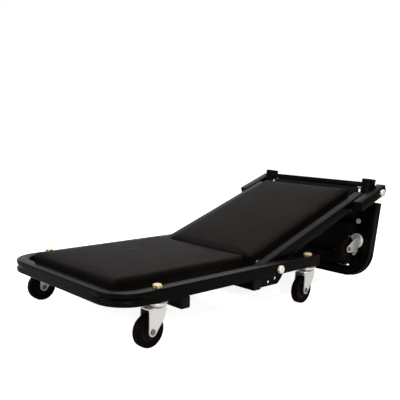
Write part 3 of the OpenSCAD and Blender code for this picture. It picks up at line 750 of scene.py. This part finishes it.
def hex_solid(flats, tall, crown=0.7, hole=0.0):
    """hexagon with the turned chamfer of a real nut or bolt head; stands on z = 0"""
    n = HEX_STEPS
    half = flats / 2
    edge = tall - 1.15
    angles = [2 * math.pi * k / n for k in range(n)]
    rings = []
    for z in (0.0, 0.25, edge, tall):
        ring = []
        for a in angles:
            r = half / math.cos(math.radians(math.degrees(a) % 60.0 - 30.0))
            zz = z
            if z == 0.0:
                r = min(r, half * 0.985)
            elif z == edge:
                zz = tall - crown - max(0.0, (r - half)) * 0.55
            elif z == tall:
                r = half * 0.94
            ring.append((r * math.cos(a), r * math.sin(a), zz))
        rings.append(ring)
    if not hole:
        rings.append([(flats * 0.2 * math.cos(a), flats * 0.2 * math.sin(a), tall) for a in angles])
        return skin(rings)
    for r, z in ((hole + 0.7, tall), (hole, tall - 0.6), (hole, 0.0)):
        rings.append([(r * math.cos(a), r * math.sin(a), z) for a in angles])
    verts = [p for r in rings for p in r]
    faces = []
    m = len(rings)
    for i in range(m):
        for j in range(n):
            a, b = i * n + j, i * n + (j + 1) % n
            c, d = ((i + 1) % m) * n + (j + 1) % n, ((i + 1) % m) * n + j
            faces.append((a, b, c, d))
    return verts, faces


def thread_end(r, z0, z1, pitch, n=24):
    """the visible end of a bolt, with its thread as fine rings and a chamfered tip"""
    count = 2 * max(2, int(abs(z1 - z0) / pitch))
    rings = [circle(r if k % 2 == 0 else r * 0.86, z0 + (z1 - z0) * k / count, n)
             for k in range(count)]
    rings.append(circle(r * 0.72, z1, n))
    return skin(rings)


def turn(part, m):
    v, f = part
    return [tuple(m @ Vector(p)) for p in v], f


def shift(part, x=0.0, y=0.0, z=0.0):
    v, f = part
    return [(p[0] + x, p[1] + y, p[2] + z) for p in v], f


def tyre_shape():
    """outer band of the wheel: nearly flat tread, rounded shoulders and a shallow side ring"""
    half = [(20.0, 6.8), (20.6, 7.3), (21.6, 7.6), (25.0, 7.6), (25.5, 7.9), (26.4, 8.0),
            (29.15, 8.0)]
    for k in range(1, 8):
        a = math.radians(80 * k / 7)
        half.append((29.12 + 2.4 * math.sin(a), 5.6 + 2.4 * math.cos(a)))
    half += [(31.62, 4.6), (31.70, 3.0), (31.74, 1.2)]
    return revolve(both_sides(half), 80, "y", WHEEL)


def hub_shape():
    """recessed web with ribs, raised boss round the axle"""
    half = [(4.05, 11.1), (7.2, 11.1), (7.8, 10.6), (8.0, 9.9), (8.4, 5.2), (9.4, 4.5), (15.0, 4.5),
            (16.0, 4.9), (16.5, 5.7), (17.2, 6.0), (20.0, 6.0)]
    body = revolve(both_sides(half), 60, "y", WHEEL)
    rib_faces = [(0, 1, 3, 2), (2, 3, 5, 4), (4, 5, 7, 6), (6, 7, 1, 0), (0, 2, 4, 6), (1, 7, 5, 3)]
    ribs = []
    for side in (-1, 1):
        for k in range(6):
            a = math.radians(60 * k + 15)
            c, s = math.cos(a), math.sin(a)
            pts = []
            for r, w, y in ((7.8, 1.0, 4.0), (16.2, 1.0, 4.0), (16.2, 0.65, 5.4), (7.8, 0.65, 6.6)):
                for q in (-w, w):
                    pts.append((-TRAIL + r * c - q * s, side * y, -DROP + r * s + q * c))
            ribs.append((pts, rib_faces))
    return merge(body, *ribs)


def axle_shape():
    """axle bolt: round shank, washer and hex nut outside each leg"""
    out = FORK_IN + SHEET
    parts = [revolve([(0.01, -out), (4.0, -out), (4.0, out), (0.01, out)], 24, "y", WHEEL)]
    for side, m in ((1, ALONG_Y), (-1, AGAINST_Y)):
        wash = revolve([(4.0, 0.0), (6.0, 0.0), (6.0, 0.4), (5.8, 0.6), (4.0, 0.6)], 32)
        head = shift(hex_solid(9.4, 1.7, 0.35), 0, 0, 0.6)
        end = thread_end(2.4, 2.2, 2.5, 0.2, 20)
        for p in (wash, head, end):
            parts.append(shift(turn(p, m), -TRAIL, side * out, -DROP))
    return merge(*parts)


def top_shape():
    """mounting plate and the dish that holds the ball race"""
    prof = [(5.1, 0.0), (19.5, 0.0), (19.9, -0.4), (20.0, -0.9), (19.7, -1.6), (17.9, -2.2),
            (17.3, -2.9), (17.3, -4.8), (16.9, -6.0), (15.9, -6.5), (14.3, -6.5), (13.6, -5.9),
            (5.1, -5.9)]
    return revolve(prof, 64)


def balls_shape(n=16, r=1.1, ring=14.5, z=-6.9):
    """the ball race, as a ring of balls under the dish"""
    tilts = [math.radians(t) for t in range(0, 181, 30)]
    ball = skin([circle(max(r * math.sin(t), 0.001), r * math.cos(t), 8) for t in tilts])
    turns = [2 * math.pi * k / n for k in range(n)]
    return merge(*(shift(ball, ring * math.cos(a), ring * math.sin(a), z) for a in turns))


def stem_shape():
    """hex head on top of the tube, shank, and the lock nut under the crown"""
    head = shift(hex_solid(FLATS, HEAD_TALL), 0, 0, TUBE)
    shank = revolve([(0.01, -17.4), (4.3, -17.4), (BOLT_R, -16.8), (BOLT_R, TUBE), (0.01, TUBE)],
                    BOLT_STEPS)
    nut = turn(hex_solid(FLATS, STEM_NUT), Matrix.Rotation(math.radians(180), 3, "X"))
    nut = shift(nut, 0, 0, CROWN_TOP - SHEET - 0.3)
    return merge(head, shank, nut)


# Frame pieces
PLATE = 4.0
HEAD_LUG = 3.4
LUG_GAP = 0.3
LUG_LOW = -23.5
LUG_HIGH = -9.6
LUG_TOE = -47.3
LUG_ARC = 15.92
HEAD_PLATE_END = 154.5
ARM_CHAMFER = 5.3
ARM_LIP = -7.4
# the head's inner tubes end against the inside of the rail's bend
COPE_FROM = 160.0
COPE_TO = 173.0
COPE_R = 40.0
COPE_CENTRE = (162.0, 140.2)


def prism(outline, y0, y1):
    """outline in (x, z), thickened from y0 to y1"""
    n = len(outline)
    verts = [(x, y0, z) for x, z in outline] + [(x, y1, z) for x, z in outline]
    faces = [tuple(range(n)), tuple(range(2 * n - 1, n - 1, -1))]
    faces += [(i, i + n, (i + 1) % n + n, (i + 1) % n) for i in range(n)]
    return verts, faces


def eased(name, part, place, material, width, pick=None):
    """a mesh whose picked edges are rounded; pick sees an edge's two ends in millimetres"""
    verts, faces = part
    me = bpy.data.meshes.new(name)
    me.from_pydata([tuple(v) for v in verts], [], faces)
    bm = bmesh.new()
    bm.from_mesh(me)
    bmesh.ops.remove_doubles(bm, verts=bm.verts, dist=1e-4)
    bmesh.ops.recalc_face_normals(bm, faces=bm.faces)
    round_edges(bm, [e for e in bm.edges if sharp(e, 0.5)
                     and (pick is None or pick(e.verts[0].co, e.verts[1].co))], width, 3)
    bmesh.ops.recalc_face_normals(bm, faces=bm.faces)
    for v in bm.verts:
        v.co = place @ (v.co * MM)
    shade(bm, 33)
    bm.to_mesh(me)
    bm.free()
    obj = bpy.data.objects.new(name, me)
    scene.collection.objects.link(obj)
    me.materials.append(material)
    return obj


def plate(outline, inner, outer, side, place, width):
    """flat plate with eased edges; inner and outer are its faces' distances from the middle"""
    y0, y1 = sorted((side * inner, side * outer))
    return eased("plate", prism(outline, y0, y1), place, M_FRAME, width)


def joined(name, objs):
    """several built objects as one piece"""
    base = objs[0]
    bm = bmesh.new()
    for o in objs:
        bm.from_mesh(o.data)
    bm.to_mesh(base.data)
    bm.free()
    for o in objs[1:]:
        bpy.data.objects.remove(o, do_unlink=True)
    base.name = name
    return base


def cap_rings(x0, x1, y, side=TUBE, radius=RAIL_CORNER):
    """moulded tube cap whose outer face is softly domed; x1 is the outer end"""
    s = 1.0 if x1 > x0 else -1.0
    t = abs(x1 - x0)
    rings = []
    for dx, inset in ((0.0, 0.0), (t * 0.45, 0.0), (t * 0.8, 0.5), (t * 0.97, 1.5), (t, 3.4)):
        prof = square_profile(side - 2 * inset, radius - inset * 0.4, flat=2)
        rings.append([(x0 + s * dx, y + u, v) for u, v in prof])
    return rings


def cap(x0, x1, y, place, *size):
    return add_mesh("cap", *skin(cap_rings(x0, x1, y, *size)), place, M_CAP)


def slot_of(node):
    return next(s["material_slot"] for s in frame["record"]["subparts"] if s["node"] == node)


def along(a, b):
    """true for an edge that runs along the tube or across its chamfer"""
    return abs(a.y - b.y) < 0.01 and (abs(a.z - b.z) < 0.01
                                      or abs(abs(a.z - b.z) - abs(a.x - b.x)) < 0.5)


def lug_edge(z):
    """x of the arm plate's lug at height z: it runs beside the head section's rest place"""
    fold = math.radians(HEAD)
    return (-PLATE_HALF - LUG_GAP - z * math.cos(fold)) / math.sin(fold)


def build_rails():
    """the two bent rails and the middle section's straight ones"""
    rail = add_mesh("base_rail_shaped", *skin(u_rail_rings(BASE_LEN - FLANGE)), TO_BASE, M_FRAME)
    settle(rail, "base", "frame", "base_rail")
    flip = TO_HEAD @ Matrix.Translation((HEAD_LEN * MM, 0, 0)) @ Matrix.Scale(-1, 4, (1, 0, 0))
    rings = u_rail_rings(HEAD_LEN - HEAD_RAIL - FLANGE)
    settle(add_mesh("head_rail_shaped", *skin(rings), flip, M_FRAME), "head", "frame", "head_rail")
    parts = []
    for s in SIDES:
        rings = straight_tube(FLANGE - TAIL, RAIL_END - FLANGE, s * IN_ROW)
        parts.append(add_mesh("tube", *skin(rings), TO_MID, M_FRAME))
    settle(joined("mid_rails_tube", parts), "middle", "frame", "mid_rails")


def build_arms():
    """the outer arms at the middle section's top and the plates that join them to its rails"""
    h = PLATE_HALF
    x0, x1 = MID_LEN - ARM_BACK + FLANGE, MID_LEN + ARM_FRONT - FLANGE
    out = [(x0, -HALF), (x1 - ARM_CHAMFER, -HALF), (x1, ARM_LIP), (x1, HALF), (x0, HALF)]
    parts = []
    for s in SIDES:
        part = prism(out, s * OUT_ROW - HALF, s * OUT_ROW + HALF)
        parts.append(eased("arm", part, TO_MID, M_FRAME, 2.4, along))
    settle(joined("mid_arms_tube", parts), "middle", "frame", "mid_arms")

    back = MID_LEN - ARM_BACK
    strip = [(back, -h), (RAIL_END, -h), (RAIL_END, h), (back, h)]
    lug = [(-STUB - LUG_GAP, -h), (-STUB - LUG_GAP, LUG_HIGH), (lug_edge(LUG_HIGH), LUG_HIGH),
           (lug_edge(LUG_LOW), LUG_LOW), (-STUB, LUG_LOW), (LUG_TOE, -h)]
    lug = [(MID_LEN + x, z) for x, z in lug]
    lug += [(RAIL_END, -h), (RAIL_END, h), (MID_LEN - STUB - LUG_GAP, h)]
    parts = []
    for s in SIDES:
        parts.append(plate(strip, IN_FACE, IN_FACE + PLATE, s, TO_MID, 0.5))
        parts.append(plate(lug, IN_FACE + 0.4, IN_FACE + PLATE, s, TO_MID, 0.4))
    settle(joined("mid_arm_plates", parts), "middle", "frame", "mid_arms")


def build_head_tubes():
    """the head's inner tubes, coped to the rail's bend, and their plates"""
    parts = []
    for s in SIDES:
        rings = straight_tube(FLANGE - STUB, COPE_FROM, s * IN_ROW)[:3]
        prof = [(y, z) for _, y, z in rings[-1]]
        cope = [COPE_CENTRE[0] + math.sqrt(max(COPE_R ** 2 - (abs(y) - COPE_CENTRE[1]) ** 2, 0.0))
                for y, _ in prof]
        rings.append([(min(COPE_TO, c), y, z) for c, (y, z) in zip(cope, prof)])
        rings.append([(c, y, z) for c, (y, z) in zip(cope, prof)])
        parts.append(add_mesh("tube", *skin(rings), TO_HEAD, M_FRAME))
    settle(joined("head_inner_tubes_shaped", parts), "head", "frame", "head_inner_tubes")

    h = PLATE_HALF
    strip = [(HEAD_RAIL, -h), (HEAD_PLATE_END, -h), (HEAD_PLATE_END, h), (HEAD_RAIL, h)]
    lug = [(HEAD_RAIL, -h), (HEAD_RAIL, h), (-STUB, h), (-STUB, 0.0)]
    for k in range(1, 7):
        a = math.radians(180 + LUG_ARC * k / 6)
        lug.append((STUB * math.cos(a), STUB * math.sin(a)))
    lug.append((0.0, -h))
    parts = []
    for s in SIDES:
        parts.append(plate(strip, IN_FACE, IN_FACE + PLATE, s, TO_HEAD, 0.5))
        parts.append(plate(lug, IN_FACE, IN_FACE + HEAD_LUG, s, TO_HEAD, 0.4))
    settle(joined("head_plates", parts), "head", "frame", "head_inner_tubes")


def build_bars():
    """the cross bars under the base cushion"""
    prof = square_profile(BAR, BAR_CORNER, flat=2)
    parts = []
    for x in BARS:
        rings = [[(x + u, y, BAR_Z + w) for u, w in prof] for y in (FLANGE - OUTER, OUTER - FLANGE)]
        parts.append(add_mesh("bar", *skin(rings), TO_BASE, M_FRAME))
    settle(joined("base_bars_tube", parts), "base", "frame", "base_bars")


def build_caps():
    """the moulded caps of every open tube end"""
    parts = []
    for s in SIDES:
        parts.append(cap(BASE_LEN - FLANGE, BASE_LEN, s * OUT_ROW, TO_BASE))
        for x in BARS:
            place = (TO_BASE @ Matrix.Translation((x * MM, 0, BAR_Z * MM))
                     @ Matrix.Rotation(math.radians(90 * s), 4, "Z"))
            parts.append(cap(OUTER - FLANGE, OUTER, 0.0, place, BAR, BAR_CORNER))
    settle(joined("base_caps_moulded", parts), "base", "cap", "base_caps")

    back, front = MID_LEN - ARM_BACK, MID_LEN + ARM_FRONT
    out = [(front - FLANGE, ARM_LIP), (front, ARM_LIP + 2.0), (front, HALF), (front - FLANGE, HALF)]
    parts = []
    for s in SIDES:
        for x0, x1, y in ((RAIL_END - FLANGE, RAIL_END, IN_ROW), (FLANGE - TAIL, -TAIL, IN_ROW),
                          (back + FLANGE, back, OUT_ROW)):
            parts.append(cap(x0, x1, s * y, TO_MID))
        part = prism(out, s * OUT_ROW - HALF + 0.1, s * OUT_ROW + HALF - 0.1)
        parts.append(eased("cap", part, TO_MID, M_CAP, 0.8))
    settle(joined("mid_caps_moulded", parts), "middle", "cap", "mid_caps")

    parts = []
    for s in SIDES:
        parts.append(cap(FLANGE - STUB, -STUB, s * IN_ROW, TO_HEAD))
        parts.append(cap(HEAD_RAIL + FLANGE, HEAD_RAIL, s * OUT_ROW, TO_HEAD))
    settle(joined("head_caps_moulded", parts), "head", "cap", "head_caps")


# CAD nodes that keep their shape, with the width and steps of their rounded edges
ROUNDED = (
    ("hinge_plates", 0.6, 2), ("mid_straps", 0.7, 2), ("head_straps", 0.7, 2),
    ("head_hinge_bar", 1.6, 3), ("base_screws", 1.3, 4), ("mid_screws", 1.3, 4),
    ("head_screws", 1.3, 4), ("mid_strap_bolts", 2.2, 4), ("head_strap_bolts", 2.2, 4),
    ("lock_barrels", 0.6, 2), ("lock_pin_near", 1.0, 3), ("lock_pin_far", 1.0, 3),
    ("base_board", 1.0, 2), ("mid_board", 1.0, 2), ("head_board", 1.0, 2))


def build_rounded():
    for node, width, steps in ROUNDED:
        o = rounded_copy(node, width, steps)
        slot = slot_of(node)
        # screw heads take darkened zinc: painted shade
        o.data.materials.append(M_SCREW_PAINTED_SHADE if node.endswith("_screws") else BY_SLOT[slot])
        settle(o, nodes[node]["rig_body"], slot, node)


def caster_places():
    """each caster's carrying body and frame; the first letter is its row, the second its side"""
    places = {}
    for row, x, yaw in (("f", STEMS[0], 2.0), ("r", STEMS[1], 5.0)):
        for s, side in zip(SIDES, "nf"):
            place = TO_BASE @ Matrix.Translation((x * MM, s * OUT_ROW * MM, -HALF * MM))
            places[row + side] = "base", place @ Matrix.Rotation(math.radians(-s * yaw), 4, "Z")
    for s, side in zip(SIDES, "nf"):
        place = TO_HEAD @ Matrix.Translation((HEAD_STEM * MM, s * IN_ROW * MM, -HALF * MM))
        places["h" + side] = "head", place @ Matrix.Rotation(math.radians(180), 4, "Z")
    return places


def build_casters():
    fork, balls, axle = fork_shape(), balls_shape(), axle_shape()
    tyre, hub = tyre_shape(), hub_shape()
    top, stem = top_shape(), stem_shape()
    tops, stems = {"base": [], "head": []}, {"base": [], "head": []}
    for key, (body, place) in caster_places().items():
        o = add_mesh("fork_%s_bent" % key, *fork, place, M_ZINC, 50)
        round_rims(o, 0.4)
        paint_shade_inside(o, place)
        settle(o, "fork_" + key, "zinc", "fork_" + key)
        # the balls take darkened zinc: painted shade between the dish and the crown
        o = add_mesh("balls_%s" % key, *balls, place, M_PAINTED_SHADE_ZINC, 60)
        settle(o, "fork_" + key, "zinc")
        o = add_mesh("axle_%s_set" % key, *axle, place, M_AXLE, 35)
        settle(o, "fork_" + key, "zinc", "axle_" + key)
        o = add_mesh("tyre_%s_tread" % key, *tyre, place, M_TYRE, 50)
        settle(o, "wheel_" + key, "tyre", "tyre_" + key)
        o = add_mesh("hub_%s_web" % key, *hub, place, M_HUB, 40)
        settle(o, "wheel_" + key, "hub", "hub_" + key)
        tops[body].append(add_mesh("top", *top, place, M_ZINC, 40))
        stems[body].append(add_mesh("stem", *stem, place, M_YELLOW, 35))
    for body in ("base", "head"):
        settle(joined(body + "_caster_dishes", tops[body]), body, "zinc", body + "_caster_tops")
        settle(joined(body + "_stem_bolts", stems[body]), body, "zinc_yellow", body + "_stems")


def hinge_bolt_shape(side):
    """hexagon head outside, shank along y and the threaded end inside"""
    out = OUTER + WASHER
    m = ALONG_Y if side > 0 else AGAINST_Y
    head = shift(turn(hex_solid(FLATS, HEAD_TALL), m), 0, side * out, 0)
    shank = skin([circle(BOLT_R, z, BOLT_STEPS) for z in (0.0, PIVOT_SHANK)])
    shank = shift(turn(shank, m), 0, side * (out - PIVOT_SHANK), 0)
    end = shift(turn(thread_end(BOLT_R, 0.0, -8.2, 1.5), m), 0, side * (out - PIVOT_SHANK), 0)
    return merge(head, shank, end)


def washer_shape(y, thick, side):
    r, hole = WASHER_R, BOLT_R + 0.05
    prof = [(hole, 0.0), (r - 0.3, 0.0), (r, 0.3), (r, thick - 0.35), (r - 0.35, thick),
            (hole, thick)]
    m = ALONG_Y if side > 0 else AGAINST_Y
    return shift(turn(revolve(prof, 40), m), 0, y, 0)


def paint_shade_outer(obj):
    """the washer under each bolt head takes darkened zinc: painted shade round the head"""
    obj.data.materials.append(M_SCREW_PAINTED_SHADE)
    for f in obj.data.polygons:
        if abs(f.center.y) > (OUTER - 0.5) * MM:
            f.material_index = 1


def build_hinges():
    """pivot bolts, nuts and washers; only the fold has a shim between its plates"""
    fold_at = TO_BASE @ Matrix.Translation((FOLD_X * MM, 0, 0))
    head_at = TO_MID @ Matrix.Translation((MID_LEN * MM, 0, 0))
    nut_out = IN_INSIDE - 0.2 - WASHER
    for body, place, group, shim in (("base", fold_at, "fold", True),
                                     ("middle", head_at, "head", False)):
        bolts, nuts = [], []
        for s in SIDES:
            bolts.append(add_mesh("bolt", *hinge_bolt_shape(s), place, M_CREAM, 35))
            nut = turn(hex_solid(FLATS, PIVOT_NUT, 0.7, BOLT_R), AGAINST_Y if s > 0 else ALONG_Y)
            rings = [shift(nut, 0, s * nut_out, 0), washer_shape(s * nut_out, WASHER, s),
                     washer_shape(s * OUTER, WASHER, s)]
            if shim:
                rings.append(washer_shape(s * (IN_FACE + 0.2), SHIM, s))
            nuts.append(add_mesh("nut", *merge(*rings), place, M_ZINC, 35))
            paint_shade_outer(nuts[-1])
        settle(joined(group + "_bolts_turned", bolts), body, "zinc", group + "_bolts")
        settle(joined(group + "_nuts_turned", nuts), body, "zinc", group + "_nuts")


# Stage and lamps

def new_nodes(tree, *kinds):
    """empties a node tree and returns new nodes of these kinds"""
    tree.nodes.clear()
    return [tree.nodes.new("ShaderNode" + kind) for kind in kinds]


def link_all(tree, *pairs):
    for a, b in pairs:
        tree.links.new(a, b)


def make_floor():
    """pale floor that the camera sees as nearly white, with the object's shadow kept"""
    half = 14
    me = bpy.data.meshes.new("floor")
    me.from_pydata([(-half, -half, 0), (half, -half, 0), (half, half, 0), (-half, half, 0)], [],
                   [(0, 1, 2, 3)])
    floor = bpy.data.objects.new("floor", me)
    scene.collection.objects.link(floor)
    m = bpy.data.materials.new("floor_pale")
    m.use_nodes = True
    t = m.node_tree
    out, dif, emi, add, path, mix = new_nodes(
        t, "OutputMaterial", "BsdfDiffuse", "Emission", "AddShader", "LightPath", "MixShader")
    dif.inputs["Color"].default_value = (0.90, 0.90, 0.90, 1)
    emi.inputs["Strength"].default_value = 0.88
    link_all(t, (dif.outputs[0], add.inputs[0]), (emi.outputs[0], add.inputs[1]),
             (path.outputs["Is Camera Ray"], mix.inputs[0]), (dif.outputs[0], mix.inputs[1]),
             (add.outputs[0], mix.inputs[2]), (mix.outputs[0], out.inputs[0]))
    me.materials.append(m)


def make_world():
    """dim light, but white to the camera and in gloss and transmission"""
    world = bpy.data.worlds.new("world")
    scene.world = world
    world.use_nodes = True
    t = world.node_tree
    out, dim, white, path, first, either, mix = new_nodes(
        t, "OutputWorld", "Background", "Background", "LightPath", "Math", "Math", "MixShader")
    dim.inputs["Color"].default_value = (0.85, 0.88, 0.95, 1)
    dim.inputs["Strength"].default_value = 0.16
    white.inputs["Color"].default_value = (1, 1, 1, 1)
    white.inputs["Strength"].default_value = 1.0
    first.operation = either.operation = "MAXIMUM"
    link_all(t, (path.outputs["Is Camera Ray"], first.inputs[0]),
             (path.outputs["Is Glossy Ray"], first.inputs[1]), (first.outputs[0], either.inputs[0]),
             (path.outputs["Is Transmission Ray"], either.inputs[1]),
             (either.outputs[0], mix.inputs[0]), (dim.outputs[0], mix.inputs[1]),
             (white.outputs[0], mix.inputs[2]), (mix.outputs[0], out.inputs[0]))


# name, place, aim, width, height, watts, colour
LAMPS = (
    ("key_top", (-0.3, 0.3, 2.4), (0, 0, 0.1), 2.0, 2.0, 44, (1.0, 0.99, 0.98)),
    ("fill_left", (-2.6, 0.4, 1.2), (0, 0, 0.1), 1.2, 1.2, 26, (0.90, 0.94, 1.0)),
    ("back_soft", (1.5, 1.5, 1.75), (0.35, 0, 0.25), 1.5, 1.5, 9, (1.0, 0.98, 0.96)),
    ("edge_warm", (1.5, -0.5, 1.6), (0.0, -0.1, 0.12), 0.10, 0.10, 9, (1.0, 0.84, 0.60)),
    ("bend_warm", (-1.15, -1.7, 0.75), (-0.3, -0.1, 0.1), 0.30, 0.12, 9, (1.0, 0.88, 0.72)),
    ("edge_high", (-0.7, -0.9, 2.2), (0, 0, 0.15), 0.25, 0.10, 9, (1.0, 0.9, 0.74)))


def make_lamps():
    for name, at, aim, width, height, power, color in LAMPS:
        lamp = bpy.data.lights.new(name, "AREA")
        lamp.shape = "RECTANGLE"
        lamp.size = width
        lamp.size_y = height
        lamp.energy = power
        lamp.color = color
        o = bpy.data.objects.new(name, lamp)
        scene.collection.objects.link(o)
        o.location = at
        o.rotation_euler = (Vector(aim) - Vector(at)).to_track_quat("-Z", "Y").to_euler()


make_camera()

for node, o in nodes.items():
    o.data.materials.clear()
    o.data.materials.append(BY_SLOT[slot_of(node)])

build_rails()
build_arms()
build_head_tubes()
build_bars()
build_caps()
build_rounded()
build_casters()
build_hinges()
pad("base_cushion_soft", 30.9, 384.5, 148.2, TO_BASE, "base", "base_cushion")
pad("mid_cushion_soft", -15.5, 381.7, 141.5, TO_MID, "middle", "mid_cushion", corner=7.5)
pad("head_cushion_soft", -11.2, 202.0, 140.9, TO_HEAD, "head", "head_cushion", corner=7.5, pull=0.0)

make_floor()
make_world()
make_lamps()
scene.view_settings.view_transform = "Standard"
